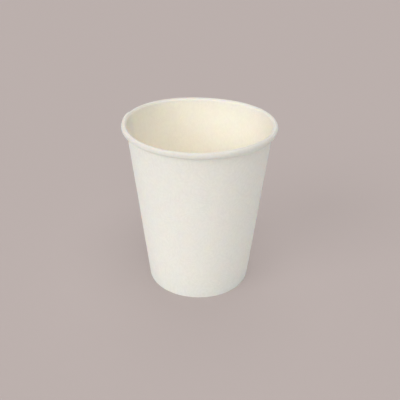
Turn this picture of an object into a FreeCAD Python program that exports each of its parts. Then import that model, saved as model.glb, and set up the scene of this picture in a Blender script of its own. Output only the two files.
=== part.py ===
import FreeCAD, Part
import Sketcher
import math
import os
from collections import namedtuple

# Single-wall paper cup for hot drinks, made of two pieces of board.
#
# The side wall is a fan-shaped blank wrapped into a cone. Its two ends lap over each
# other in a straight side seam, its top edge is rolled outwards and tucked into the
# roll, and its bottom edge is creased inwards and up again as a hem.
# The base is a disc drawn down into a short skirt, which the hem clamps against the
# inside of the wall, so that the cup stands on the crease and the disc stays off the
# table.
#
# Frame: millimetres, +Z up, origin on the cup's axis in the plane of the foot.

# Driving dimensions, in millimetres and degrees
SIZES = {
    "rim_diameter": (80.0, "outside diameter over the rolled rim"),
    "foot_diameter": (56.0, "outside diameter of the wall, carried down to the foot plane"),
    "cup_height": (91.0, "height over the rolled rim"),
    "wall_board": (0.36, "thickness of the side wall's board"),
    "base_board": (0.30, "thickness of the base's board"),
    "rim_roll": (2.75, "outside diameter of the roll"),
    "roll_gap": (0.05, "room left in the roll beside the edge tucked into it"),
    "tuck_turn": (150.0, "angle that the tucked edge turns on past the roll's lowest point"),
    "crease_bend": (0.06, "inside bend radius of the two creases at the foot"),
    "recess_depth": (8.0, "height of the base's underside above the foot plane"),
    "hem_setback": (1.6, "height of the base's underside above the hem's cut edge"),
    "base_bend": (0.4, "inside bend radius between the base and its skirt"),
    "seal_gap": (0.02, "clearance on each side of the skirt, and under it"),
    "lap_width": (6.0, "width of the side seam"),
    "lap_climb": (1.5, "width over which the outer end climbs onto the inner end"),
    "channel_fade": (0.3, "the seam's inner channel under the rim, as a share of its full size"),
    "seam_bearing": (160.0, "bearing of the inner end's cut edge about the axis"),
}
size = {name: value for name, (value, _) in SIZES.items()}

# Share of the board's thickness by which a seam's outline reaches past the wall's face
SEAM_REACH = 0.5

# Angles on a circle, in radians
LOWEST = -math.pi / 2
FULL_TURN = 2 * math.pi

# A sketch's own axes, and the points that a constraint can name on an edge
H_AXIS, V_AXIS = -1, -2
START, END, CENTRE = 1, 2, 3
ORIGIN = (H_AXIS, START)

# An edge of an outline, with the points where the outline enters and leaves it
Edge = namedtuple("Edge", "index first last")


class Outline:
    """A closed outline in a sketch. Its edges are drawn near their true places, and the
    constraints hold them to the spreadsheet's dimensions."""

    def __init__(self, body, name, plane):
        origin = body.Origin.OriginFeatures
        support = next(feature for feature in origin if feature.Role == plane)
        self.sketch = body.newObject("Sketcher::SketchObject", name)
        self.sketch.AttachmentSupport = [(support, "")]
        self.sketch.MapMode = "FlatFace"

    def line(self, start, end):
        segment = Part.LineSegment(FreeCAD.Vector(*start, 0), FreeCAD.Vector(*end, 0))
        return Edge(self.sketch.addGeometry(segment, False), START, END)

    def arc(self, centre, radius, from_angle, to_angle, clockwise=False):
        """An arc drawn counter-clockwise between two angles in radians. The outline may
        follow it the other way."""
        circle = Part.Circle(FreeCAD.Vector(*centre, 0), FreeCAD.Vector(0, 0, 1), radius)
        index = self.sketch.addGeometry(Part.ArcOfCircle(circle, from_angle, to_angle), False)
        return Edge(index, END, START) if clockwise else Edge(index, START, END)

    def point(self, place):
        """A construction point."""
        return self.sketch.addGeometry(Part.Point(FreeCAD.Vector(*place, 0)), True)

    def tie(self, kind, *references):
        self.sketch.addConstraint(Sketcher.Constraint(kind, *references))

    def close(self, edges, corners=()):
        """Joins each edge to the next, and the last to the first: smoothly, or with a
        corner after the edges named in corners."""
        for edge, following in zip(edges, edges[1:] + edges[:1]):
            kind = "Coincident" if edge in corners else "Tangent"
            self.tie(kind, edge.index, edge.last, following.index, following.first)

    def hold(self, name, kind, references, expression):
        """A dimension that an expression sets."""
        value = self.sketch.evalExpression(expression)
        index = self.sketch.addConstraint(Sketcher.Constraint(kind, *references, value))
        self.sketch.renameConstraint(index, name)
        self.sketch.setExpression(f"Constraints.{name}", expression)

    def measure(self, name, kind, references, value):
        """A dimension that follows from the others, for expressions to read."""
        index = self.sketch.addConstraint(Sketcher.Constraint(kind, *references, value))
        self.sketch.setDriving(index, False)
        self.sketch.renameConstraint(index, name)


def polar(centre, radius, angle):
    """The point at an angle in radians on a circle."""
    return (centre[0] + radius * math.cos(angle), centre[1] + radius * math.sin(angle))


def wall_lean():
    """How far the wall leans outwards from the vertical, in radians. Its outer face runs
    from the foot diameter up to touch the inside of the roll."""
    reach = (size["rim_diameter"] - size["rim_roll"] - size["foot_diameter"]) / 2
    rise = size["cup_height"] - size["rim_roll"] / 2
    roll_inside = size["rim_roll"] / 2 - size["wall_board"]
    return math.atan2(reach, rise) - math.asin(roll_inside / math.hypot(reach, rise))


def under_wall(depth, height):
    """The point at a height, and at a depth square to the wall's outer face."""
    lean = wall_lean()
    radius = size["foot_diameter"] / 2 + (height * math.sin(lean) - depth) / math.cos(lean)
    return (radius, height)


def make_sheet(doc):
    """The spreadsheet that every feature reads its dimensions from."""
    sheet = doc.addObject("Spreadsheet::Sheet", "Sizes")
    for row, (name, (value, meaning)) in enumerate(SIZES.items(), start=1):
        sheet.set(f"A{row}", name)
        sheet.set(f"B{row}", str(value))
        sheet.set(f"C{row}", meaning)
        sheet.setAlias(f"B{row}", name)
    doc.recompute()


def make_body(doc, name):
    body = doc.addObject("PartDesign::Body", name)
    body.Label = name
    return body


def revolve(body, name, sketch):
    """A full turn of a section about the cup's axis."""
    feature = body.newObject("PartDesign::Revolution", name)
    feature.Profile = sketch
    feature.ReferenceAxis = (sketch, ["V_Axis"])
    feature.Angle = 360.0


def loft(body, kind, name, lower, upper):
    """A straight-sided loft between two outlines."""
    feature = body.newObject(kind, name)
    feature.Profile = lower
    feature.Sections = [upper]
    feature.Ruled = True


# The side wall's section

def draw_wall_section(body):
    """The board's section in one closed outline. It starts at the hem's cut edge, goes
    down the hem, round both creases, up the wall's outer face, round the inside of the
    roll to the tucked edge, and comes back along the other face."""
    board = size["wall_board"]
    slot = size["base_board"] + 2 * size["seal_gap"]
    hem_depth = board + slot + board
    hem_top = size["recess_depth"] - size["hem_setback"]
    crease_inside = size["crease_bend"]
    crease_outside = crease_inside + board
    wall_crease = under_wall(crease_outside, crease_outside)
    hem_crease = under_wall(hem_depth - crease_outside, crease_outside)

    roll = size["rim_roll"] / 2
    tuck = roll - board - size["roll_gap"]
    roll_centre = (size["rim_diameter"] / 2 - roll, size["cup_height"] - roll)
    tuck_centre = (roll_centre[0], roll_centre[1] - roll + tuck)

    lean = wall_lean()
    outwards = -lean
    inwards = math.pi - lean
    lowest_again = LOWEST + FULL_TURN
    tuck_stop = lowest_again - math.radians(size["tuck_turn"])
    hem_top_inside = under_wall(hem_depth, hem_top)
    hem_top_outside = polar(hem_top_inside, board, outwards)

    outline = Outline(body, "SideWallSection", "XZ_Plane")
    hem_inside = outline.line(hem_top_inside, polar(hem_crease, crease_outside, inwards))
    hem_crease_outside = outline.arc(hem_crease, crease_outside, inwards, lowest_again)
    foot = outline.line(polar(hem_crease, crease_outside, LOWEST),
                        polar(wall_crease, crease_outside, LOWEST))
    wall_crease_outside = outline.arc(wall_crease, crease_outside, LOWEST, outwards)
    wall_outside = outline.line(polar(wall_crease, crease_outside, outwards),
                                polar(roll_centre, roll - board, inwards))
    roll_inside = outline.arc(roll_centre, roll - board, LOWEST, inwards, clockwise=True)
    tuck_inside = outline.arc(tuck_centre, tuck - board, tuck_stop, lowest_again, clockwise=True)
    tuck_edge = outline.line(polar(tuck_centre, tuck - board, tuck_stop),
                             polar(tuck_centre, tuck, tuck_stop))
    tuck_outside = outline.arc(tuck_centre, tuck, tuck_stop, lowest_again)
    roll_outside = outline.arc(roll_centre, roll, LOWEST, inwards)
    wall_inside = outline.line(polar(roll_centre, roll, inwards),
                               polar(wall_crease, crease_inside, outwards))
    wall_crease_inside = outline.arc(wall_crease, crease_inside, LOWEST, outwards, clockwise=True)
    slot_floor = outline.line(polar(wall_crease, crease_inside, LOWEST),
                              polar(hem_crease, crease_inside, LOWEST))
    hem_crease_inside = outline.arc(hem_crease, crease_inside, inwards, lowest_again,
                                    clockwise=True)
    hem_outside = outline.line(polar(hem_crease, crease_inside, inwards), hem_top_outside)
    hem_edge = outline.line(hem_top_outside, hem_top_inside)

    outline.close(
        [hem_inside, hem_crease_outside, foot, wall_crease_outside, wall_outside, roll_inside,
         tuck_inside, tuck_edge, tuck_outside, roll_outside, wall_inside, wall_crease_inside,
         slot_floor, hem_crease_inside, hem_outside, hem_edge],
        corners=[tuck_inside, tuck_edge, hem_outside, hem_edge])

    # The board keeps its thickness round every bend
    for inner, outer in ((roll_inside, roll_outside), (tuck_inside, tuck_outside),
                         (wall_crease_inside, wall_crease_outside),
                         (hem_crease_inside, hem_crease_outside)):
        outline.tie("Coincident", inner.index, CENTRE, outer.index, CENTRE)
    for face in (wall_inside, hem_inside, hem_outside):
        outline.tie("Parallel", face.index, wall_outside.index)

    # The foot stands on the foot plane
    outline.tie("Horizontal", foot.index)
    outline.tie("Horizontal", slot_floor.index)
    outline.tie("PointOnObject", foot.index, START, H_AXIS)
    for name, crease in (("wall_crease", wall_crease_outside), ("hem_crease", hem_crease_outside)):
        outline.hold(name, "Radius", [crease.index], "Sizes.crease_bend + Sizes.wall_board")

    # The wall's outer face, carried down, meets the foot plane at the foot diameter
    foot_point = outline.point((size["foot_diameter"] / 2, 0))
    outline.tie("PointOnObject", foot_point, START, wall_outside.index)
    outline.tie("PointOnObject", foot_point, START, H_AXIS)
    outline.hold("foot_radius", "DistanceX", [*ORIGIN, foot_point, START],
                 "Sizes.foot_diameter / 2")
    outline.measure("wall_slope", "Angle", [H_AXIS, START, wall_outside.index, START],
                    math.pi / 2 - lean)

    # The hem leaves a slot for the base's skirt and ends short of the base
    outline.hold("slot_width", "Distance", [hem_outside.index, END, wall_inside.index],
                 "Sizes.base_board + 2 * Sizes.seal_gap")
    outline.hold("hem_height", "DistanceY", [*ORIGIN, hem_inside.index, START],
                 "Sizes.recess_depth - Sizes.hem_setback")
    outline.tie("Perpendicular", hem_edge.index, hem_inside.index)

    # The roll, and the edge tucked into it on a smaller circle
    outline.hold("roll_centre_radius", "DistanceX", [*ORIGIN, roll_outside.index, CENTRE],
                 "(Sizes.rim_diameter - Sizes.rim_roll) / 2")
    outline.hold("roll_centre_height", "DistanceY", [*ORIGIN, roll_outside.index, CENTRE],
                 "Sizes.cup_height - Sizes.rim_roll / 2")
    outline.hold("roll_outer_bend", "Radius", [roll_outside.index], "Sizes.rim_roll / 2")
    outline.hold("roll_inner_bend", "Radius", [roll_inside.index],
                 "Sizes.rim_roll / 2 - Sizes.wall_board")
    outline.hold("tuck_bend", "Radius", [tuck_outside.index],
                 "Sizes.rim_roll / 2 - Sizes.wall_board - Sizes.roll_gap")
    outline.hold("tuck_angle", "Angle", [tuck_outside.index], "Sizes.tuck_turn * 1deg")
    outline.tie("Vertical", roll_outside.index, CENTRE, tuck_outside.index, CENTRE)
    outline.tie("PointOnObject", tuck_outside.index, CENTRE, tuck_edge.index)
    return outline.sketch


# The side seam. In plan the inner end's cut edge lies on the body's own X axis. The outer
# end climbs onto it from the side of -Y, and its own cut edge lies at the lap's width.

WALL_SLOPE = "SideWallSection.Constraints.wall_slope"
BOARD_ACROSS = f"Sizes.wall_board / sin({WALL_SLOPE})"


def wall_radius(height):
    """Expression for the radius of the wall's outer face at a height."""
    return f"Sizes.foot_diameter / 2 + ({height}) / tan({WALL_SLOPE})"


def draw_lap(body, name, height_value, height):
    """Outline of the lap in plan: its outer face one board's thickness off the wall, its
    cut edge, an arc within the wall, and the climb."""
    board = size["wall_board"] / math.cos(wall_lean())
    face = under_wall(0, height_value)[0]
    outer = face + board
    inner = face - SEAM_REACH * board
    climb_foot = -(1 + SEAM_REACH) * size["lap_climb"]

    def bearing(radius, offset):
        return math.asin(offset / radius)

    inner_start = bearing(inner, climb_foot)
    inner_end = bearing(inner, size["lap_width"])
    outer_end = bearing(outer, size["lap_width"])

    outline = Outline(body, name, "XY_Plane")
    outline.sketch.setExpression("AttachmentOffset.Base.z", height)
    climb = outline.line(polar((0, 0), inner, inner_start), (outer, 0))
    lap_face = outline.arc((0, 0), outer, 0, outer_end)
    cut_edge = outline.line(polar((0, 0), outer, outer_end), polar((0, 0), inner, inner_end))
    wall_side = outline.arc((0, 0), inner, inner_start, inner_end, clockwise=True)
    edges = [climb, lap_face, cut_edge, wall_side]
    outline.close(edges, corners=edges)

    for arc in (lap_face, wall_side):
        outline.tie("Coincident", arc.index, CENTRE, *ORIGIN)
    outline.tie("Horizontal", cut_edge.index)
    outline.tie("PointOnObject", climb.index, END, H_AXIS)
    outline.hold("lap_face_radius", "Radius", [lap_face.index],
                 f"{wall_radius(height)} + {BOARD_ACROSS}")
    outline.hold("wall_side_radius", "Radius", [wall_side.index],
                 f"{wall_radius(height)} - {SEAM_REACH} * {BOARD_ACROSS}")
    outline.hold("width", "DistanceY", [*ORIGIN, cut_edge.index, START], "Sizes.lap_width")
    outline.hold("climb_foot", "DistanceY", [climb.index, START, *ORIGIN],
                 f"(1 + {SEAM_REACH}) * Sizes.lap_climb")
    return outline.sketch


def draw_channel(body, name, height_value, height, share_value, share):
    """Outline of the channel in plan, between the inner end's cut edge and the climbing
    board: a triangle that opens to the inside of the cup."""
    board = size["wall_board"] / math.cos(wall_lean())
    face = under_wall(size["wall_board"], height_value)[0]
    deepest = face + share_value * board
    mouth = face - share_value * SEAM_REACH * board
    climb_foot = -share_value * (1 + SEAM_REACH) * size["lap_climb"]

    outline = Outline(body, name, "XY_Plane")
    outline.sketch.setExpression("AttachmentOffset.Base.z", height)
    cut_edge = outline.line((mouth, 0), (deepest, 0))
    climb = outline.line((deepest, 0), (mouth, climb_foot))
    opening = outline.line((mouth, climb_foot), (mouth, 0))
    edges = [cut_edge, climb, opening]
    outline.close(edges, corners=edges)

    inner_face = f"{wall_radius(height)} - {BOARD_ACROSS}"
    outline.tie("PointOnObject", cut_edge.index, START, H_AXIS)
    outline.tie("Horizontal", cut_edge.index)
    outline.tie("Vertical", opening.index)
    outline.hold("deepest", "DistanceX", [*ORIGIN, cut_edge.index, END],
                 f"{inner_face} + {share} * {BOARD_ACROSS}")
    outline.hold("mouth", "DistanceX", [*ORIGIN, cut_edge.index, START],
                 f"{inner_face} - {share} * {SEAM_REACH} * {BOARD_ACROSS}")
    outline.hold("climb_foot", "DistanceY", [climb.index, END, *ORIGIN],
                 f"{share} * (1 + {SEAM_REACH}) * Sizes.lap_climb")
    return outline.sketch


def make_side_wall(doc):
    """The wrapped wall with its rolled rim, its hem and its side seam."""
    body = make_body(doc, "side_wall")
    section = draw_wall_section(body)
    doc.recompute()
    revolve(body, "RolledWall", section)

    lap_foot = draw_lap(body, "LapAtFoot", size["crease_bend"] + size["wall_board"],
                        "Sizes.crease_bend + Sizes.wall_board")
    lap_top = draw_lap(body, "LapUnderRim", size["cup_height"] - size["rim_roll"],
                       "Sizes.cup_height - Sizes.rim_roll")
    loft(body, "PartDesign::AdditiveLoft", "SeamLap", lap_foot, lap_top)

    channel_foot = draw_channel(body, "ChannelAtBase", size["recess_depth"] + size["base_board"],
                                "Sizes.recess_depth + Sizes.base_board", 1.0, "1.0")
    channel_top = draw_channel(body, "ChannelUnderRim", size["cup_height"] - size["rim_roll"],
                               "Sizes.cup_height - Sizes.rim_roll", size["channel_fade"],
                               "Sizes.channel_fade")
    loft(body, "PartDesign::SubtractiveLoft", "SeamChannel", channel_foot, channel_top)
    body.setExpression("Placement.Rotation.Angle", "Sizes.seam_bearing * 1deg")
    return body


# The base

def draw_base_section(body):
    """Half the base's section: the disc, the bend and the skirt beside the wall's inner
    face."""
    board = size["base_board"]
    underside = size["recess_depth"]
    bend_inside = size["base_bend"]
    bend_outside = bend_inside + board
    skirt_depth = size["wall_board"] + size["seal_gap"]
    skirt_foot = size["wall_board"] + size["crease_bend"] + size["seal_gap"]
    outwards = -wall_lean()
    upwards = math.pi / 2
    bend = under_wall(skirt_depth + bend_outside, underside - bend_inside)
    foot_outside = under_wall(skirt_depth, skirt_foot)
    foot_inside = polar(foot_outside, -board, outwards)

    outline = Outline(body, "BaseSection", "XZ_Plane")
    axis = outline.line((0, underside), (0, underside + board))
    top = outline.line((0, underside + board), polar(bend, bend_outside, upwards))
    outer_bend = outline.arc(bend, bend_outside, outwards, upwards, clockwise=True)
    skirt_outside = outline.line(polar(bend, bend_outside, outwards), foot_outside)
    skirt_edge = outline.line(foot_outside, foot_inside)
    skirt_inside = outline.line(foot_inside, polar(bend, bend_inside, outwards))
    inner_bend = outline.arc(bend, bend_inside, outwards, upwards)
    bottom = outline.line(polar(bend, bend_inside, upwards), (0, underside))
    outline.close([axis, top, outer_bend, skirt_outside, skirt_edge, skirt_inside, inner_bend,
                   bottom], corners=[axis, skirt_outside, skirt_edge, bottom])

    outline.tie("PointOnObject", axis.index, START, V_AXIS)
    outline.tie("PointOnObject", axis.index, END, V_AXIS)
    outline.tie("Horizontal", top.index)
    outline.tie("Horizontal", bottom.index)
    outline.tie("Coincident", inner_bend.index, CENTRE, outer_bend.index, CENTRE)
    outline.tie("Parallel", skirt_inside.index, skirt_outside.index)
    outline.tie("Perpendicular", skirt_edge.index, skirt_outside.index)
    outline.hold("underside", "DistanceY", [*ORIGIN, axis.index, START], "Sizes.recess_depth")
    outline.hold("inner_bend", "Radius", [inner_bend.index], "Sizes.base_bend")
    outline.hold("outer_bend", "Radius", [outer_bend.index], "Sizes.base_bend + Sizes.base_board")
    outline.hold("skirt_foot", "DistanceY", [*ORIGIN, skirt_outside.index, END],
                 "Sizes.wall_board + Sizes.crease_bend + Sizes.seal_gap")

    # The skirt lies along the wall's inner face, found from the foot of its outer face
    foot_point = outline.point((size["foot_diameter"] / 2, 0))
    outline.tie("PointOnObject", foot_point, START, H_AXIS)
    outline.hold("foot_radius", "DistanceX", [*ORIGIN, foot_point, START],
                 "Sizes.foot_diameter / 2")
    outline.hold("skirt_slope", "Angle", [H_AXIS, START, skirt_outside.index, END], WALL_SLOPE)
    outline.hold("skirt_depth", "Distance", [foot_point, START, skirt_outside.index],
                 "Sizes.wall_board + Sizes.seal_gap")
    return outline.sketch


def make_base_disc(doc):
    """The base with its skirt."""
    body = make_body(doc, "base_disc")
    revolve(body, "DrawnBase", draw_base_section(body))
    return body


def check(doc, bodies):
    """Stops where a feature failed, a sketch is loose, or a body is not one sound solid."""
    for item in doc.Objects:
        if "Invalid" in item.State or "Error" in item.State:
            raise RuntimeError(f"{item.Name} failed: {item.State}")
        if item.TypeId == "Sketcher::SketchObject" and not item.FullyConstrained:
            raise RuntimeError(f"{item.Name} is not fully constrained")
    for body in bodies:
        shape = body.Shape
        if shape.isNull() or not shape.isValid() or len(shape.Solids) != 1:
            raise RuntimeError(f"{body.Label} is not one sound solid")


def main():
    doc = FreeCAD.newDocument("PaperCup")
    make_sheet(doc)
    bodies = [make_side_wall(doc), make_base_disc(doc)]
    doc.recompute()
    check(doc, bodies)
    os.makedirs("parts", exist_ok=True)
    for body in bodies:
        body.Shape.exportStep(f"parts/{body.Label}.step")
        box = body.Shape.BoundBox
        print(f"{body.Label}: {body.Shape.Volume:.1f} mm3, "
              f"{box.XLength:.2f} x {box.YLength:.2f} x {box.ZLength:.2f} mm")


main()
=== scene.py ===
import math

import bpy
import numpy as np
from bpy.props import FloatProperty, FloatVectorProperty, IntProperty, PointerProperty
from bpy.types import Operator, Panel, PropertyGroup
from mathutils import Matrix, Vector


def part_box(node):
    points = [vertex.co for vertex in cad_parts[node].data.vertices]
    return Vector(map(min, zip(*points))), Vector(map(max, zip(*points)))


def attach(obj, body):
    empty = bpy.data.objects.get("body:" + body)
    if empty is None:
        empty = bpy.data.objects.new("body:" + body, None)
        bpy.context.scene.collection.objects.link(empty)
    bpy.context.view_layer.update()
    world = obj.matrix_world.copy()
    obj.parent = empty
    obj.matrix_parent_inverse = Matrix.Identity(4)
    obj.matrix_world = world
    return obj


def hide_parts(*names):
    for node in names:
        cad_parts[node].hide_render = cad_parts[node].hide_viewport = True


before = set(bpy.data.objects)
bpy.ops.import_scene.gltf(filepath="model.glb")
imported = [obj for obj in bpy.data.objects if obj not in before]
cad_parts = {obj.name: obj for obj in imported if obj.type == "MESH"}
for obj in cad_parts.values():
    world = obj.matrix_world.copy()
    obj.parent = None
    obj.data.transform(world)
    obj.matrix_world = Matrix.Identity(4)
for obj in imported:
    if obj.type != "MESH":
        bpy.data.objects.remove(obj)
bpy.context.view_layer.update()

bl_info = {
    "name": "Paper coffee cup",
    "version": (1, 0, 0),
    "blender": (4, 5, 0),
    "location": "3D View > Sidebar > Paper Cup",
    "description": "A single-wall paper cup of wrapped board, with rolled rim, hem and base",
    "category": "Add Mesh",
}

# Everything is in metres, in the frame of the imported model: +Z up, origin at the foot.
MM = 0.001
WALL_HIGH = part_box("side_wall")[1]
BASE_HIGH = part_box("base_disc")[1]
FULL_TURN = 2 * math.pi
LOWEST, TOPMOST = -math.pi / 2, math.pi / 2     # directions from a circle's centre, in section
SHARP = math.radians(50)                        # faces that meet more sharply show an edge
WHITE = (1.0, 1.0, 1.0)

# Waves round the pushed-in rim: how many, how high, and the bearing of a crest in degrees
RIM_WAVES = ((1, 0.61 * MM, 233.0), (2, 0.48 * MM, -35.0), (3, 0.45 * MM, 18.3),
             (4, 0.19 * MM, 45.1))

# Stretches of the rim where the roll is loose and taller, or tight and less tall, than
# elsewhere: the middle's bearing and the half width in degrees, and by how much
ROLL_SWELLS = ((309.0, 22.0, 1.05 * MM), (350.0, 22.0, -0.65 * MM))

# Waves in the height of the base's pleats: how many, how much, and their phase in radians
PLEAT_SWELLS = ((5, 0.5, 1.0), (13, 0.3, 2.0))

# How finely the wall's board is divided in section
HEM_STEPS, CREASE_POINTS, WALL_STEPS, CURL_POINTS, TUCK_POINTS = 7, 5, 26, 22, 8

# Material slots of both pieces of board
INSIDE, OUTSIDE, EDGE = 0, 1, 2


def length(label, meaning, default):
    """A length in metres, shown in the scene's own unit."""
    return FloatProperty(name=label, description=meaning, default=default, precision=5,
                         unit="LENGTH", subtype="DISTANCE")


def share(label, meaning, default):
    """A part of a whole, from 0 to 1."""
    return FloatProperty(name=label, description=meaning, default=default, min=0.0, max=1.0,
                         subtype="FACTOR")


def angle(label, meaning, degrees):
    """An angle, given here in degrees and kept in radians."""
    return FloatProperty(name=label, description=meaning, default=math.radians(degrees),
                         unit="ROTATION", subtype="ANGLE")


def strength(label, meaning, default):
    """The strength of a light."""
    return FloatProperty(name=label, description=meaning, default=default, min=0.0)


def tint(label, meaning, default):
    """A colour, in linear light."""
    return FloatVectorProperty(name=label, description=meaning, default=default, size=3,
                               min=0.0, max=1.0, subtype="COLOR")


class CupShape(PropertyGroup):
    """Sizes of the two pieces of board."""
    rim_radius: length("Rim radius", "Outside radius over the rolled rim", WALL_HIGH.x)
    height: length("Height", "Height over the rolled rim", WALL_HIGH.z)
    foot_radius: length("Foot radius", "Radius of the wall carried down to the table", 28 * MM)
    wall_board: length("Wall board", "Thickness of the wall's board", 0.36 * MM)
    base_board: length("Base board", "Thickness of the base's board", 0.30 * MM)
    rim_roll: length("Rim roll", "How wide the roll is", 2.75 * MM)
    roll_height: length("Roll height", "How tall the roll is", 3.05 * MM)
    rise_bearing: angle("Raised rim", "Bearing of the stretch where the rim is higher", 302.0)
    rise_width: angle("Raised width", "Half width of the raised stretch", 20.0)
    rise: length("Rise", "How far the rim rises there", 0.55 * MM)
    roll_gap: length("Roll gap", "Room in the roll beside the tucked edge", 0.05 * MM)
    tuck_turn: angle("Tuck", "How far the edge turns on inside the roll", 150.0)
    crease_bend: length("Crease", "Inside bend radius at the foot", 0.06 * MM)
    seal_gap: length("Seal gap", "Clearance on each side of the base's skirt", 0.02 * MM)
    base_bend: length("Base bend", "Inside bend radius of the base's edge", 0.4 * MM)
    hem_setback: length("Hem setback", "From the hem's cut edge up to the base", 1.6 * MM)
    base_dish: length("Base dish", "How far the base sags at its centre", 0.35 * MM)
    base_pleat: length("Base pleats", "Height of the fine pleats at the base's edge", 0.03 * MM)
    lap_width: length("Seam width", "Width of the lapped side seam", 6 * MM)
    lap_climb: length("Seam climb", "Width over which one end climbs onto the other", 7 * MM)
    seam_bearing: angle("Seam bearing", "Bearing of the inner end's cut edge", 160.0)
    rib_count: IntProperty(name="Hem ribs", description="Ribs pressed into the hem",
                           default=112)
    rib_depth: share("Rib depth", "Depth of the hem's ribs, as a share of the board", 0.3)
    rim_push: share("Pushed rim", "How much of the rim's departure from round is kept", 1.0)
    corner: length("Rim corner", "How far the stiff seam pushes out a corner in the rim",
                   0.4 * MM)
    corner_bearing: angle("Corner bearing", "Bearing of the rim's corner", 164.6)
    corner_width: angle("Corner width", "Half width of the rim's corner", 7.6)
    ripple: length("Ripple", "Unevenness of the wall between rim and base", 0.05 * MM)


class CupFinish(PropertyGroup):
    """Colours of the board's two faces and its cut edge."""
    outside: tint("Outside", "Uncoated face of the board", (0.787, 0.769, 0.713))
    inside: tint("Inside", "Sealed face of the board", (0.977, 0.918, 0.824))
    # The rim colour is painted shade: the sealed face is darkened over the roll so that the
    # light falling on the roll's top leaves it no brighter than the wall
    rim: tint("Rim", "Sealed face where it is stretched over the roll", (0.712, 0.684, 0.625))
    edge: tint("Cut edge", "Raw edge of the board", (0.80, 0.76, 0.68))
    mottle: share("Mottle", "How much the board's colour clouds", 0.045)
    through: share("Light through", "How much of the light enters the board", 0.5)
    through_depth: length("Depth of light", "How far red light goes in the board", 0.5 * MM)


class CupStage(PropertyGroup):
    """Floor, light and camera."""
    floor_colour: tint("Floor", "Colour of the floor under the lamps", (0.233, 0.202, 0.196))
    floor_glow: tint("Floor glow", "Plain colour that the shadow doesn't reach",
                     (0.25, 0.217, 0.206))
    bounce: tint("Bounce", "Colour of the light that the floor throws back", (0.84, 0.84, 0.84))
    lamp_width: angle("Light width", "How wide each soft light looks from the cup", 38.0)
    key_strength: strength("Key light", "Strength of the soft light at the left", 1.20)
    key_bearing: angle("Key bearing", "How far left of the camera the key light stands", 50.0)
    key_rise: angle("Key rise", "How high the key light stands", 28.2)
    front_strength: strength("Front light", "Strength of the soft light by the camera", 0.66)
    front_rise: angle("Front rise", "How high the front light stands", 35.0)
    top_strength: strength("Top light", "Strength of the soft light over the cup", 1.06)
    top_bearing: angle("Top bearing", "How far left of the camera the top light stands", -30.0)
    top_rise: angle("Top rise", "How high the top light stands", 75.0)
    back_strength: strength("Back light", "Strength of the soft light behind the cup", 0.66)
    back_rise: angle("Back rise", "How high the back light stands", 70.0)
    sky: strength("Sky", "Strength of the even light all round", 0.24)
    horizon: tint("Horizon", "Plain colour past the floor's edge", (0.497, 0.434, 0.413))
    camera_rise: angle("Camera rise", "Elevation of the camera", 28.937)
    camera_roll: angle("Camera roll", "Turn of the camera about its own line of sight", 0.456)
    camera_distance: length("Camera distance", "From the camera to the cup's middle",
                            313.87 * MM)


# Meshes

def blend_in(low, high, values):
    """Smooth step from 0 at low to 1 at high: 3 t^2 - 2 t^3."""
    t = np.clip((values - low) / (high - low), 0, 1)
    return t * t * (3 - 2 * t)


def bell(bearing, middle, width):
    """exp(-(angle / width)^2) of the angle from the middle, the shorter way round."""
    off = (bearing - middle + math.pi) % FULL_TURN - math.pi
    return np.exp(-(off / width) ** 2)


def wall_lean(shape):
    """How far the wall leans outwards, in radians. Its outer face runs from the foot's
    radius to touch the inside of the roll: that is the lean of the line to the roll's centre
    less the angle at the foot whose sine is (roll's radius - board) / length of the line."""
    roll = shape.rim_roll / 2
    reach = shape.rim_radius - roll - shape.foot_radius
    rise = shape.height - roll
    return math.atan2(reach, rise) - math.asin((roll - shape.wall_board)
                                               / math.hypot(reach, rise))


def under_wall(shape, depth, height):
    """(radius, height) of the point at a depth square to the wall's outer face."""
    lean = wall_lean(shape)
    radius = shape.foot_radius + (height * math.sin(lean) - depth) / math.cos(lean)
    return np.array([radius, height])


def outwards_from_wall(shape):
    """The direction square to the wall's outer face, in section."""
    lean = wall_lean(shape)
    return np.array([math.cos(lean), -math.sin(lean)])


def around(centre, radius, angles):
    """Points on a circle in the section's plane, and the outward directions there."""
    facing = np.stack([np.cos(angles), np.sin(angles)], axis=-1)
    return centre + radius * facing, facing


def between(start, end, count):
    """Evenly spaced points from start up to but not including end."""
    return start + (end - start) * np.linspace(0, 1, count, endpoint=False)[:, None]


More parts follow.
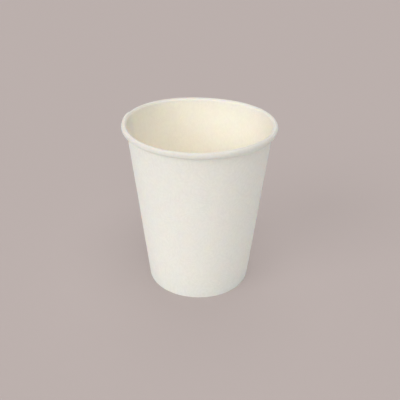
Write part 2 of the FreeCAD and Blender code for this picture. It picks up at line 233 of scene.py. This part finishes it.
def board_path(shape, tuck_turn, rim_rise, roll_height):
    """The wall board's inner face in section, from the hem's cut edge, down the hem, round
    both creases, up the wall and round the roll to the tucked edge.

    tuck_turn, rim_rise and roll_height hold one value for each station round the cup, and
    the result has a row for each. The roll is a circle. Past its top it is stretched
    downwards: depth under the rim times roll height / roll width. The wall is stretched
    upwards by the rim's rise times a smooth step of the height, from the base to the roll.
    Returns the points and the directions from the inner face to the outer one, both of shape
    (stations, points, 2), and the numbers of the points at which the crease, the wall and
    the roll begin.
    """
    board = shape.wall_board
    lean = wall_lean(shape)
    slot = shape.base_board + 2 * shape.seal_gap
    hem_depth = 2 * board + slot
    base_underside = BASE_HIGH.z - shape.base_board
    bend = shape.crease_bend
    crease = bend + board
    wall_crease = under_wall(shape, crease, crease)
    hem_crease = under_wall(shape, hem_depth - crease, crease)
    hem_top = under_wall(shape, hem_depth - board, base_underside - shape.hem_setback)
    roll = shape.rim_roll / 2
    tuck = roll - board - shape.roll_gap
    roll_centre = np.array([shape.rim_radius - roll, shape.height - roll])
    tuck_centre = roll_centre - [0, roll - tuck]
    outwards = outwards_from_wall(shape)
    inwards_angle = math.pi - lean

    hem_foot, _ = around(hem_crease, bend, inwards_angle)
    hem = between(hem_top, hem_foot, HEM_STEPS)
    first_crease, first_facing = around(
        hem_crease, bend, np.linspace(inwards_angle, FULL_TURN + LOWEST, CREASE_POINTS))
    second_crease, second_facing = around(
        wall_crease, bend, np.linspace(LOWEST, -lean, CREASE_POINTS))
    wall_top, _ = around(roll_centre, roll, inwards_angle)
    wall = between(second_crease[-1], wall_top, WALL_STEPS)[1:]
    curl_angles = np.linspace(inwards_angle, LOWEST, CURL_POINTS)
    curl, curl_facing = around(roll_centre, roll, curl_angles)

    fixed = np.concatenate([hem, first_crease, second_crease, wall, curl])
    facing = np.concatenate([
        np.broadcast_to(-outwards, hem.shape), first_facing, second_facing,
        np.broadcast_to(outwards, wall.shape), -curl_facing])
    turns = LOWEST - tuck_turn[:, None] * np.linspace(0, 1, TUCK_POINTS + 1)[1:]
    tucked, tucked_facing = around(tuck_centre, tuck, turns)
    stations = len(tuck_turn)
    points = np.concatenate([np.broadcast_to(fixed, (stations, *fixed.shape)), tucked], axis=1)
    normals = np.concatenate([np.broadcast_to(facing, (stations, *facing.shape)),
                              -tucked_facing], axis=1)

    wall_start = len(hem) + len(first_crease) + len(second_crease)
    roll_start = wall_start + len(wall)
    past_top = np.concatenate([np.zeros(roll_start), curl_angles < TOPMOST,
                               np.ones(TUCK_POINTS)])
    stretch = 1 + past_top * (roll_height[:, None] / shape.rim_roll - 1)
    points[:, :, 1] = shape.height - (shape.height - points[:, :, 1]) * stretch
    level = np.concatenate([np.zeros(len(hem)), fixed[len(hem):roll_start, 1],
                            np.full(CURL_POINTS + TUCK_POINTS, shape.height)])
    rising = blend_in(BASE_HIGH.z, shape.height - shape.rim_roll, level)
    points[:, :, 1] += rim_rise[:, None] * rising
    normals[:, :, 1] /= stretch
    normals /= np.linalg.norm(normals, axis=2, keepdims=True)
    return points, normals, (len(hem), wall_start, roll_start)


def seam_stations(shape):
    """Stations round the cup, from the inner end's cut edge once round and on over the lap
    to the outer end's cut edge. Each has a share of the full turn and an offset along the
    wall, and its bearing is turn * 2 pi + offset / radius. Also returned are how far the
    board is lifted onto the lap there (0 to 1), how far the lap presses on it (0 to 1), and
    the share of the tuck that it keeps."""
    lap, climb = shape.lap_width, shape.lap_climb
    settle = 0.6 * MM       # past the lap, over which the board regains its thickness
    notch = 6 * MM          # over which the tuck opens from the seam to its full turn
    lap_points, settle_points, climb_points, samples_per_rib = 6, 4, 9, 6

    under = np.linspace(0, lap, lap_points)
    release = np.linspace(lap, lap + settle, settle_points)[1:]
    round_wall = np.linspace(0, 1, shape.rib_count * samples_per_rib)[1:]
    climbing = np.linspace(-climb, 0, climb_points)[1:]
    over = under[1:]

    start_offset = lap + settle
    wall_offset = start_offset + (-climb - start_offset) * round_wall
    offset = np.concatenate([under, release, wall_offset, climbing, over])
    turn = np.concatenate([np.zeros(len(under) + len(release)), round_wall,
                           np.ones(len(climbing) + len(over))])
    lifted = np.concatenate([np.zeros(len(under) + len(release) + len(round_wall)),
                             blend_in(-climb, 0, climbing), np.ones(len(over))])
    pressed = np.concatenate([np.ones(len(under)), 1 - blend_in(lap, lap + settle, release),
                              np.zeros(len(round_wall) + len(climbing) + len(over))])
    travel = turn * FULL_TURN * shape.rim_radius + offset
    first, last = start_offset, FULL_TURN * shape.rim_radius - climb
    tucked = (blend_in(first, first + notch, travel)
              * (1 - blend_in(last - notch, last, travel)))
    return turn, offset, lifted, pressed, tucked


def wall_unevenness(shape, bearing, height):
    """Radial departure of the cup from a true cone, in metres. The rim is out of round by a
    few cosine waves and the bell of its corner. Straight lines up the wall stay straight, so
    this grows in proportion to the height over the base. Between the two lies a fine ripple:
    products of a cosine round the cup and one up the wall, times sin^2 of the height."""
    top = np.clip((height - BASE_HIGH.z) / (shape.height - BASE_HIGH.z), 0, 1)
    rim = sum(crest * np.cos(count * (bearing - math.radians(crest_bearing)))
              for count, crest, crest_bearing in RIM_WAVES)
    rim = rim + shape.corner * bell(bearing, shape.corner_bearing, shape.corner_width)
    seed, up_the_wall, fewest, most = 7, 1.3, 3, 10
    waves = np.arange(fewest, most + 1)
    phases = np.random.default_rng(seed).uniform(0, FULL_TURN, (len(waves), 2))
    ripple = sum(np.cos(count * bearing + first) * np.cos(count * top * up_the_wall + second)
                 for count, (first, second) in zip(waves, phases)) / math.sqrt(len(waves))
    held = np.sin(math.pi * top) ** 2
    return shape.rim_push * rim * top + shape.ripple * held * ripple


def build_mesh(name, points, faces, slots, materials, board_place=None):
    """A mesh object from points (n, 3), faces as a list of index arrays, and one material
    slot for each array. board_place is an optional (n, 2) array for the UV map."""
    mesh = bpy.data.meshes.new(name)
    mesh.vertices.add(len(points))
    mesh.vertices.foreach_set("co", points.astype(np.float32).ravel())
    corners = np.concatenate([part.ravel() for part in faces])
    sizes = np.concatenate([np.full(len(part), part.shape[1]) for part in faces])
    mesh.loops.add(len(corners))
    mesh.loops.foreach_set("vertex_index", corners.astype(np.int32))
    mesh.polygons.add(len(sizes))
    starts = np.concatenate([[0], np.cumsum(sizes)[:-1]])
    mesh.polygons.foreach_set("loop_start", starts.astype(np.int32))
    material_index = np.concatenate([np.full(len(part), slot)
                                     for part, slot in zip(faces, slots)])
    mesh.polygons.foreach_set("material_index", material_index.astype(np.int32))
    mesh.polygons.foreach_set("use_smooth", np.ones(len(sizes), bool))
    if board_place is not None:
        layer = mesh.uv_layers.new(name="board")
        layer.uv.foreach_set("vector", board_place[corners].astype(np.float32).ravel())
    mesh.update(calc_edges=True)
    mesh.validate()
    mesh.set_sharp_from_angle(angle=SHARP)
    for material in materials:
        mesh.materials.append(material)
    made = bpy.data.objects.new(name, mesh)
    bpy.context.scene.collection.objects.link(made)
    return made


def quads(index, flip=False):
    """Four-cornered faces over a grid of point numbers. Flipped, they face the other way."""
    corners = [index[:-1, :-1], index[1:, :-1], index[1:, 1:], index[:-1, 1:]]
    if flip:
        corners.reverse()
    return np.stack([corner.ravel() for corner in corners], axis=-1)


def to_space(radius, height, bearing):
    """Points (n, 3) from arrays of radius, height and bearing."""
    return np.stack([radius * np.cos(bearing), radius * np.sin(bearing), height],
                    axis=-1).reshape(-1, 3)


def wrapped_wall(shape, materials):
    """The side wall as the wrapped sheet that it is. A point is the inner face's section
    point, plus the facing direction times a level in board thicknesses: 0 and 1 for a
    single layer, and more where the outer end lies on the inner one. Its radius then gets
    the wall's unevenness."""
    turn, offset, lifted, pressed, tucked = seam_stations(shape)
    least_tuck = math.radians(12)       # what the tuck keeps in the stiff seam
    around_cup = shape.seam_bearing + turn * FULL_TURN
    raised = shape.rise * bell(around_cup, shape.rise_bearing, shape.rise_width)
    roll_height = shape.roll_height + sum(
        swell * bell(around_cup, math.radians(middle), math.radians(width))
        for middle, width, swell in ROLL_SWELLS)
    path, facing, (hem_points, wall_start, roll_start) = board_path(
        shape, least_tuck + (shape.tuck_turn - least_tuck) * tucked, raised, roll_height)
    bearing = around_cup[:, None] + offset[:, None] / path[:, :, 0]
    step = np.arange(path.shape[1])

    # The seam is pressed while hot, and at the foot two layers share one board's thickness.
    # These are shares of that thickness, and the foot's squeeze fades between two heights.
    pressed_seam, squeezed, glue = 0.7, 0.52, 0.02
    squeeze_low, squeeze_high = 0.5 * MM, 5 * MM
    off_foot = blend_in(squeeze_low, squeeze_high, path[:, :, 1]) * (step >= wall_start)
    layer = squeezed + (pressed_seam - squeezed) * off_foot
    inner_level = lifted[:, None] * (layer + glue)
    outer_level = (1 - pressed[:, None] * (1 - layer)
                   + lifted[:, None] * (2 * layer + glue - 1))

    # Ribs pressed into the hem, strongest at the middle of its height and begun at its edge
    begun = 0.6
    up_hem = (step + begun) / (hem_points + begun)
    on_hem = np.where(step < hem_points, np.sin(math.pi * up_hem), 0)
    ribs = 0.5 - 0.5 * np.cos(shape.rib_count * bearing)
    outer_level = outer_level - shape.rib_depth * ribs * on_hem

    columns = []
    for level in (inner_level, outer_level):
        place = path + facing * (level * shape.wall_board)[:, :, None]
        radius = place[:, :, 0] + wall_unevenness(shape, bearing, place[:, :, 1])
        columns.append(to_space(radius, place[:, :, 1], bearing))
    points = np.concatenate(columns)

    stations, count = path.shape[:2]
    inner = np.arange(stations * count).reshape(stations, count)
    outer = inner + stations * count
    hem_edge = np.stack([outer[:, 0], inner[:, 0]], axis=1)
    tuck_edge = np.stack([inner[:, -1], outer[:, -1]], axis=1)
    first_end = np.stack([inner[0], outer[0]], axis=0)
    last_end = np.stack([outer[-1], inner[-1]], axis=0)
    faces = [quads(inner, flip=True), quads(outer), quads(hem_edge, flip=True),
             quads(tuck_edge, flip=True), quads(first_end), quads(last_end)]

    # The UV map is in metres: round the cup, and up the board from the start of the roll
    along = np.concatenate([[0], np.cumsum(np.linalg.norm(
        np.diff(path[stations // 2], axis=0), axis=1))])
    along = along - along[roll_start]
    board_place = np.stack([bearing * path[:, :, 0], np.broadcast_to(along, bearing.shape)],
                           axis=-1).reshape(-1, 2)
    return build_mesh("wrapped_wall", points, faces,
                      [INSIDE, OUTSIDE, EDGE, EDGE, EDGE, EDGE], materials,
                      np.concatenate([board_place, board_place]))


def drawn_base(shape, materials):
    """The base disc with its skirt, turned about the axis from a closed section: the top
    face outwards, round the bend, down the skirt, and back along the underside. The disc
    sags by dish * (1 - (r / R)^2). Fine pleats stand at the bend, where the flat board was
    drawn into the skirt: a cosine of the bearing times slow sine swells."""
    disc_rings, crowded_out = 15, 1.6
    outer_bend_points, inner_bend_points, skirt_steps = 7, 5, 7
    pleats, samples_per_pleat = 68, 8
    pleats_begin, pleats_full = 3 * MM, 0.4 * MM    # inwards from the bend
    disc_edge = 0.1 * MM                            # under the disc, where it turns to skirt

    board = shape.base_board
    lean = wall_lean(shape)
    outwards = outwards_from_wall(shape)
    bend_inside = shape.base_bend
    bend_outside = bend_inside + board
    top = BASE_HIGH.z
    skirt_depth = shape.wall_board + shape.seal_gap
    skirt_foot = shape.wall_board + shape.crease_bend + shape.seal_gap
    bend = under_wall(shape, skirt_depth + bend_outside, top - bend_outside)
    foot_outside = under_wall(shape, skirt_depth, skirt_foot)
    foot_inside = foot_outside - board * outwards

    rings = (1 - np.linspace(1, 0, disc_rings) ** crowded_out)[1:-1] * bend[0]
    top_face = np.stack([rings, np.full(len(rings), top)], axis=-1)
    outer_bend, _ = around(bend, bend_outside, np.linspace(TOPMOST, -lean, outer_bend_points))
    skirt_outside = between(outer_bend[-1], foot_outside, skirt_steps)[1:]
    skirt_inside = between(foot_inside, bend + bend_inside * outwards, skirt_steps)
    inner_bend, _ = around(bend, bend_inside, np.linspace(-lean, TOPMOST, inner_bend_points))
    underside = np.stack([rings[::-1], np.full(len(rings), top - board)], axis=-1)
    section = np.concatenate([top_face, outer_bend, skirt_outside, [foot_outside],
                              skirt_inside, inner_bend, underside])

    bearing = np.linspace(0, FULL_TURN, pleats * samples_per_pleat, endpoint=False)[:, None]
    radius, height = section[:, 0], section[:, 1]
    on_disc = blend_in(top - board - disc_edge, top - board, height)
    sag = shape.base_dish * (1 - (radius / bend[0]) ** 2).clip(0) * on_disc
    swell = sum((much * np.sin(count * bearing + phase)
                 for count, much, phase in PLEAT_SWELLS), start=1)
    near_bend = blend_in(bend[0] - pleats_begin, bend[0] - pleats_full, radius) * on_disc
    pleat = shape.base_pleat * np.cos(pleats * bearing) * swell * near_bend
    points = to_space(*np.broadcast_arrays(radius, height - sag - pleat, bearing))
    poles = np.array([[0, 0, top - shape.base_dish], [0, 0, top - board - shape.base_dish]])

    stations, count = len(bearing), len(section)
    index = np.arange(stations * count).reshape(stations, count)
    ring = np.concatenate([index, index[:1]])
    top_pole, low_pole = stations * count, stations * count + 1
    first, last = ring[:, 0], ring[:, -1]
    top_fan = np.stack([first[:-1], first[1:], np.full(stations, top_pole)], axis=-1)
    low_fan = np.stack([last[1:], last[:-1], np.full(stations, low_pole)], axis=-1)
    sealed = len(top_face) + len(outer_bend) + len(skirt_outside)
    faces = [quads(ring[:, :sealed + 1], flip=True),
             quads(ring[:, sealed:sealed + 2], flip=True),
             quads(ring[:, sealed + 1:], flip=True), top_fan, low_fan]
    points = np.concatenate([points, poles])

    # The UV map as on the wall, but under the roll all over
    under_roll = -np.linalg.norm(points, axis=1)
    board_place = np.stack([np.arctan2(points[:, 1], points[:, 0]) * BASE_HIGH.x, under_roll],
                           axis=-1)
    return build_mesh("drawn_base", points, faces, [INSIDE, EDGE, OUTSIDE, INSIDE, OUTSIDE],
                      materials, board_place)


# Materials

class Number:
    """A number that the shader works out. Python's operators on it add Math nodes."""

    def __init__(self, graph, socket):
        self.graph = graph
        self.socket = socket

    def math(self, operation, *values):
        """What a Math node makes of some values."""
        made = self.graph.node("ShaderNodeMath", {"operation": operation},
                               dict(enumerate(values)))
        return Number(self.graph, made.outputs[0])

    def __add__(self, other):
        return self.math("ADD", self, other)

    __radd__ = __add__

    def __sub__(self, other):
        return self.math("SUBTRACT", self, other)

    def __rsub__(self, other):
        return self.math("SUBTRACT", other, self)

    def __mul__(self, other):
        return self.math("MULTIPLY", self, other)

    __rmul__ = __mul__

    def step(self, low, high):
        """0 below low, 1 above high and smooth between."""
        made = self.graph.node("ShaderNodeMapRange", {"interpolation_type": "SMOOTHSTEP"},
                               {"Value": self, "From Min": low, "From Max": high})
        return Number(self.graph, made.outputs["Result"])


class Graph:
    """The nodes of one material, or of the world."""

    def __init__(self, name, kind="materials"):
        self.owner = getattr(bpy.data, kind).new(name)
        self.owner.use_nodes = True
        self.tree = self.owner.node_tree
        self.tree.nodes.clear()

    def node(self, kind, settings=None, sockets=None):
        """Any node: its settings first, and then the values or links of its sockets."""
        made = self.tree.nodes.new(kind)
        for name, value in (settings or {}).items():
            setattr(made, name, value)
        for name, value in (sockets or {}).items():
            value = value.socket if isinstance(value, Number) else value
            if isinstance(value, bpy.types.NodeSocket):
                self.tree.links.new(value, made.inputs[name])
            else:
                made.inputs[name].default_value = value
        return made

    def place(self):
        """The piece's own coordinates, in metres."""
        return self.node("ShaderNodeTexCoord").outputs["Object"]

    def up_the_board(self):
        """Metres along the board from the start of the rim's roll, and less than 0 under it."""
        place = self.node("ShaderNodeUVMap", {"uv_map": "board"}).outputs["UV"]
        split = self.node("ShaderNodeSeparateXYZ", None, {"Vector": place})
        return Number(self, split.outputs["Y"])

    def seen(self):
        """1 where the camera sees a surface, also by reflection or through glass, and 0 for
        the light that it sends on."""
        rays = self.node("ShaderNodeLightPath").outputs
        seen = Number(self, rays["Is Camera Ray"])
        for kind in ("Is Glossy Ray", "Is Transmission Ray"):
            seen = seen.math("MAXIMUM", seen, rays[kind])
        return seen

    def stretched(self, vector, scales):
        """A place with each of its coordinates times its own scale."""
        made = self.node("ShaderNodeVectorMath", {"operation": "MULTIPLY"},
                         {0: vector, 1: scales})
        return made.outputs["Vector"]

    def noise(self, vector, size, detail=2.0, roughness=0.5, distortion=0.0):
        """Clouds of about a size in metres, from 0 to 1."""
        made = self.node("ShaderNodeTexNoise", None, {
            "Vector": vector, "Scale": 1 / size, "Detail": detail, "Roughness": roughness,
            "Distortion": distortion})
        return Number(self, made.outputs["Fac"])

    def mix(self, factor, first, second):
        """A colour between two. A Mix node has sockets for each kind of value: those for
        colours are 6 and 7 going in, and 2 coming out."""
        made = self.node("ShaderNodeMix", {"data_type": "RGBA"},
                         {0: factor, 6: first, 7: second})
        return made.outputs[2]

    def bump(self, height, distance, normal=None):
        """A normal tilted by a height from 0 to 1 that stands for a distance in metres."""
        sockets = {"Height": height, "Distance": distance, "Strength": 1.0}
        if normal is not None:
            sockets["Normal"] = normal
        return self.node("ShaderNodeBump", None, sockets).outputs["Normal"]

    def surface(self, sockets):
        """The material, as one Principled shader with these sockets."""
        shader = self.node("ShaderNodeBsdfPrincipled", None, sockets)
        self.node("ShaderNodeOutputMaterial", None, {"Surface": shader.outputs["BSDF"]})
        return self.owner


def shade(colour, factor):
    """A colour made lighter or darker, with the alpha that a socket wants."""
    return (*(min(1.0, channel * factor) for channel in colour), 1.0)


def clouded(graph, clouds, colour, depth):
    """A colour in full where the clouds are 1, and darker by the depth where they are 0."""
    return graph.mix(clouds, shade(colour, 1 - depth), shade(colour, 1))


def board_clouds(graph, place):
    """How the pulp clouds: broad patches and upright flocks of fibres, with their contrast
    raised, from 0 to 1."""
    flock_share, upright, thin, thick = 0.82, (1.0, 1.0, 0.6), 0.3, 0.7
    broad = graph.noise(place, size=6 * MM, detail=2.0)
    flocks = graph.noise(graph.stretched(place, upright), size=1.1 * MM, detail=3.0,
                         roughness=0.65)
    return (broad * (1 - flock_share) + flocks * flock_share).step(thin, thick)


def board_grain(graph, place):
    """Height of the felted, upright fibres in the board's uncoated face, from 0 to 1."""
    felt_share, upright = 0.6, (1.0, 1.0, 0.22)
    felt = graph.noise(place, size=0.45 * MM, detail=3.0, roughness=0.65, distortion=0.6)
    fibres = graph.noise(graph.stretched(place, upright), size=0.22 * MM, detail=1.0,
                         distortion=1.2)
    return felt * felt_share + fibres * (1 - felt_share)


def felt_marks(graph, place):
    """Faint curled marks of the papermaker's felt, from -1 to 1: contour lines of slow
    clouds, as sine(density * clouds), broken up by other clouds."""
    density = 115
    phase = graph.noise(place, size=13 * MM, detail=1.0) * density
    return phase.math("SINE", phase) * graph.noise(place, size=7 * MM)


def light_through_board(finish):
    """Paper lets some light through, and red goes further in it than blue."""
    return {"Subsurface Weight": finish.through, "Subsurface Scale": finish.through_depth,
            "Subsurface Radius": (1.0, 0.66, 0.36)}


def outside_board(finish):
    """Uncoated white board: matt, faintly clouded, with a felted surface."""
    grain_height, mark_height, mark_tint = 0.016 * MM, 0.025 * MM, 0.45
    matt, matt_grain = 0.82, 0.1
    graph = Graph("board_outside")
    place = graph.place()
    marks = felt_marks(graph, place)
    clouds = board_clouds(graph, place) + mark_tint * marks
    grain = board_grain(graph, place)
    return graph.surface({
        "Base Color": clouded(graph, clouds, finish.outside, finish.mottle),
        "Roughness": matt + matt_grain * grain,
        "Normal": graph.bump(grain, grain_height, graph.bump(marks, mark_height)),
        "IOR": 1.45,
        **light_through_board(finish),
    })


def inside_board(finish):
    """Sealed board: the same fibres under a thin film that gives a satin gloss. Over the
    first millimetre of the roll it turns a little less creamy and more matt, and much darker:
    the darkening is painted shade that keeps the roll's top from looking brighter than the
    wall."""
    film_share, film_height = 0.7, 0.010 * MM
    satin, satin_film, matt_roll = 0.42, 0.14, 0.36
    roll_begun, roll_full = 0.1 * MM, 1.3 * MM
    graph = Graph("board_inside")
    place = graph.place()
    clouds = board_clouds(graph, place)
    # Over the roll the colour steps to the rim's painted shade, and the roughness rises
    rolled = graph.up_the_board().step(roll_begun, roll_full)
    film = graph.noise(place, size=1.1 * MM, detail=2.0)
    grain = board_grain(graph, place)
    return graph.surface({
        "Base Color": graph.mix(rolled, clouded(graph, clouds, finish.inside, finish.mottle),
                                clouded(graph, clouds, finish.rim, finish.mottle)),
        "Roughness": satin + satin_film * film + matt_roll * rolled,
        "Normal": graph.bump(film * film_share + grain * (1 - film_share), film_height),
        "IOR": 1.48,
        **light_through_board(finish),
    })


def cut_edge(finish):
    """The raw edge of the board: layered pulp, with painted shade that makes it a little
    darker in its hollows.
    """
    hollow_shade, pulp_height = 0.08, 0.02 * MM
    graph = Graph("board_edge")
    pulp = graph.noise(graph.place(), size=0.12 * MM, detail=2.0)
    # Painted shade: the pulp's hollows, where its height is low, are darkened
    return graph.surface({"Base Color": clouded(graph, pulp, finish.edge, hollow_shade),
                          "Roughness": 0.95, "Normal": graph.bump(pulp, pulp_height)})


def board_materials(finish):
    """The board's three surfaces, in the order of the meshes' material slots."""
    made = [bpy.data.materials.get(name)
            for name in ("board_inside", "board_outside", "board_edge")]
    if all(made):
        return made
    return [inside_board(finish), outside_board(finish), cut_edge(finish)]


# Stage

def lay_floor(stage):
    """A wide floor of one plain colour under the foot. What it throws back onto the cup is
    neutral, as from pale paper."""
    graph = Graph("floor")
    reach = 3.0
    corners = np.array([[-1, -1, 0], [1, -1, 0], [1, 1, 0], [-1, 1, 0]]) * reach
    seen = graph.seen()
    colour = graph.mix(seen, shade(stage.bounce, 1), shade(stage.floor_colour, 1))
    glow = graph.mix(seen, shade(WHITE, 0), shade(stage.floor_glow, 1))
    paper = graph.surface({"Base Color": colour, "Roughness": 1.0, "Specular IOR Level": 0.0,
                           "Emission Color": glow, "Emission Strength": 1.0})
    floor = build_mesh("floor", corners, [np.array([[0, 1, 2, 3]])], [0], [paper])


def light_cup(scene, stage):
    """Four broad round lights, so far off that they light the floor evenly, and an even sky
    all round. Each light has its strength, how far left of the camera it stands, and its
    rise."""
    lights = {
        "key": (stage.key_strength, stage.key_bearing, stage.key_rise),
        "front": (stage.front_strength, 0.0, stage.front_rise),
        "top": (stage.top_strength, stage.top_bearing, stage.top_rise),
        "back": (stage.back_strength, math.pi, stage.back_rise),
    }
    for name, (energy, bearing, rise) in lights.items():
        flat = math.cos(rise)
        direction = Vector((-math.sin(bearing) * flat, -math.cos(bearing) * flat,
                            math.sin(rise)))
        data = bpy.data.lights.new(name, "SUN")
        data.angle = stage.lamp_width
        data.energy = energy
        lamp = bpy.data.objects.new(name, data)
        lamp.location = direction
        lamp.rotation_mode = "QUATERNION"
        lamp.rotation_quaternion = direction.to_track_quat("Z", "Y")
        scene.collection.objects.link(lamp)

    graph = Graph("sky", "worlds")
    seen = graph.seen()
    colour = graph.mix(seen, shade(WHITE, 1), shade(stage.horizon, 1))
    sky = graph.node("ShaderNodeBackground", None, {
        "Color": colour, "Strength": seen + stage.sky * (1 - seen)})
    graph.node("ShaderNodeOutputWorld", None, {"Surface": sky.outputs["Background"]})
    scene.world = graph.owner


def place_camera(scene, stage):
    """The photograph's view: azimuth 0, so the camera looks along +Y and down. Its focal
    length and its aim past the cup's middle were fitted to the cup's outline, in pixels of
    the 400 x 400 frame."""
    focal_pixels, photo_pixels = 572.02, 400
    aim_right, aim_up = -0.862, 0.337
    rise, roll = stage.camera_rise, stage.camera_roll
    data = bpy.data.cameras.new("camera")
    data.sensor_width = 36.0
    data.lens = focal_pixels / photo_pixels * data.sensor_width
    data.shift_x = -aim_right / photo_pixels
    data.shift_y = -aim_up / photo_pixels
    camera = bpy.data.objects.new("camera", data)
    back = Vector((0, -math.cos(rise), math.sin(rise)))
    level_up = Vector((0, math.sin(rise), math.cos(rise)))
    right = Vector((math.cos(roll), 0, 0)) + level_up * math.sin(roll)
    up = level_up * math.cos(roll) - Vector((math.sin(roll), 0, 0))
    aim = Vector((0, 0, WALL_HIGH.z / 2))
    turned = Matrix((right, up, back)).transposed().to_4x4()
    camera.matrix_world = Matrix.Translation(aim + back * stage.camera_distance) @ turned
    scene.collection.objects.link(camera)
    scene.camera = camera


# Operators

class PAPERCUP_OT_side_wall(Operator):
    """Wraps the side wall's board, with its rim, seam and hem"""
    bl_idname = "paper_cup.side_wall"
    bl_label = "Side wall"
    bl_options = {"REGISTER", "UNDO"}

    def execute(self, context):
        scene = context.scene
        wall = wrapped_wall(scene.cup_shape, board_materials(scene.cup_finish))
        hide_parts("side_wall")
        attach(wall, "root")
        return {"FINISHED"}


class PAPERCUP_OT_base(Operator):
    """Draws the base disc and its skirt"""
    bl_idname = "paper_cup.base"
    bl_label = "Base"
    bl_options = {"REGISTER", "UNDO"}

    def execute(self, context):
        scene = context.scene
        base = drawn_base(scene.cup_shape, board_materials(scene.cup_finish))
        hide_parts("base_disc")
        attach(base, "root")
        return {"FINISHED"}


class PAPERCUP_OT_stage(Operator):
    """Sets the floor, the light and the camera round the cup"""
    bl_idname = "paper_cup.stage"
    bl_label = "Stage"
    bl_options = {"REGISTER", "UNDO"}

    def execute(self, context):
        stage = context.scene.cup_stage
        lay_floor(stage)
        light_cup(context.scene, stage)
        place_camera(context.scene, stage)
        context.scene.view_settings.view_transform = "Standard"
        return {"FINISHED"}


class PAPERCUP_PT_panel(Panel):
    """Lists the cup's pieces, sizes, colours and stage"""
    bl_label = "Paper Cup"
    bl_idname = "PAPERCUP_PT_panel"
    bl_space_type = "VIEW_3D"
    bl_region_type = "UI"
    bl_category = "Paper Cup"

    def draw(self, context):
        layout = self.layout
        for group in (context.scene.cup_shape, context.scene.cup_finish,
                      context.scene.cup_stage):
            box = layout.box()
            for name in group.__annotations__:
                box.prop(group, name)
        for operator in (PAPERCUP_OT_side_wall, PAPERCUP_OT_base, PAPERCUP_OT_stage):
            layout.operator(operator.bl_idname)


CLASSES = (CupShape, CupFinish, CupStage, PAPERCUP_OT_side_wall, PAPERCUP_OT_base,
           PAPERCUP_OT_stage, PAPERCUP_PT_panel)


def register():
    for kind in CLASSES:
        bpy.utils.register_class(kind)
    bpy.types.Scene.cup_shape = PointerProperty(type=CupShape)
    bpy.types.Scene.cup_finish = PointerProperty(type=CupFinish)
    bpy.types.Scene.cup_stage = PointerProperty(type=CupStage)


def unregister():
    del bpy.types.Scene.cup_stage
    del bpy.types.Scene.cup_finish
    del bpy.types.Scene.cup_shape
    for kind in reversed(CLASSES):
        bpy.utils.unregister_class(kind)


def main():
    register()
    bpy.ops.paper_cup.side_wall()
    bpy.ops.paper_cup.base()
    bpy.ops.paper_cup.stage()


if __name__ == "__main__":
    main()
